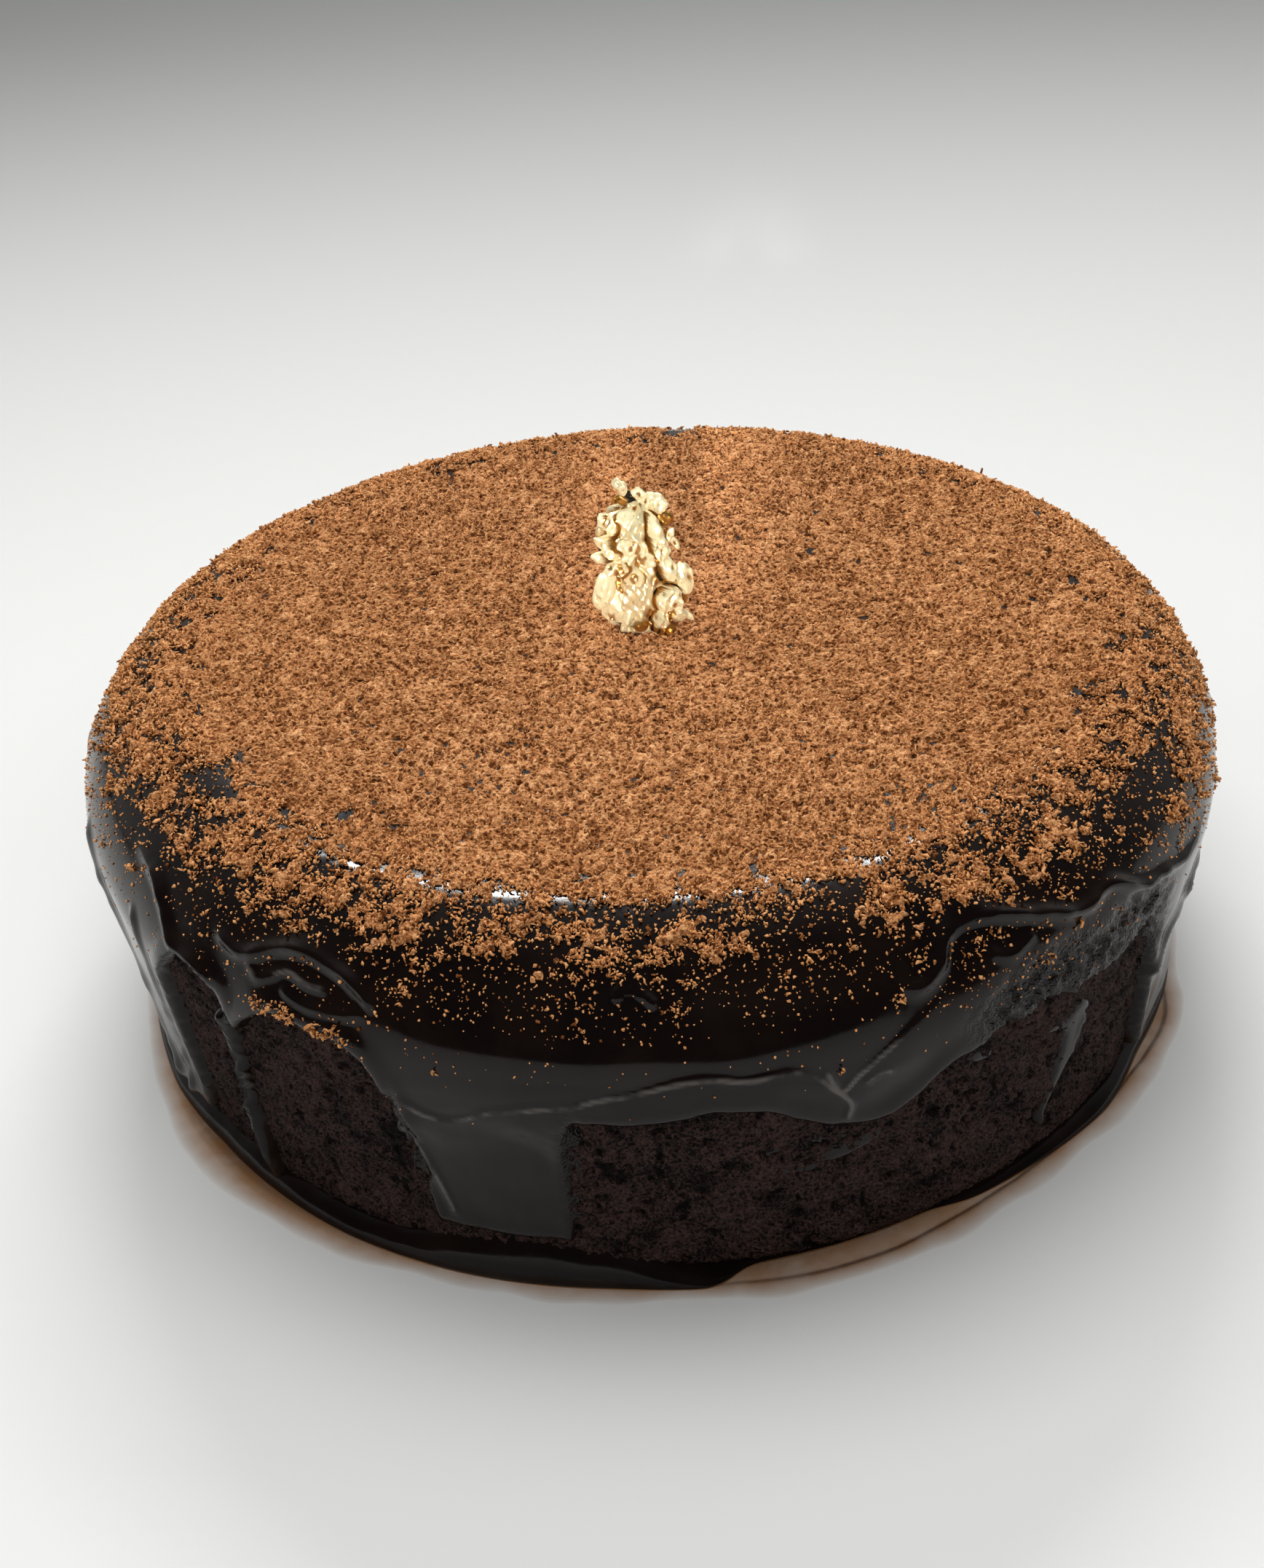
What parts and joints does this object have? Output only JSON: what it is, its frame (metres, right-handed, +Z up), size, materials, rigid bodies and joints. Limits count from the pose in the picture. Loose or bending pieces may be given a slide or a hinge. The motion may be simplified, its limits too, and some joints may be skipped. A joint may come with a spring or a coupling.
{
  "type": "chocolate lava cake",
  "caption": "Small round chocolate cake with a rounded shoulder, poured glossy ganache that runs down its sides, a cocoa dusting and a crumpled gold leaf on top.",
  "frame": {"origin": "centre of the cake's base, on the surface it stands on", "axes": "+Z up through the middle of the cake, -Y towards the front, +X to the right"},
  "size_m": [0.1198, 0.1211, 0.0546],
  "materials": {
    "sponge": "moist dark chocolate crumb",
    "ganache": "glossy, almost black chocolate ganache",
    "ganache_foot": "glossy, almost black chocolate ganache",
    "cocoa": "dry brown cocoa powder",
    "gold_leaf": "crumpled edible gold leaf"
  },
  "bodies": {
    "root": {"sponge": "sponge", "ganache": "ganache", "ganache_foot": "ganache_foot", "cocoa": "cocoa", "gold_leaf": "gold_leaf"}
  },
  "joints": []
}
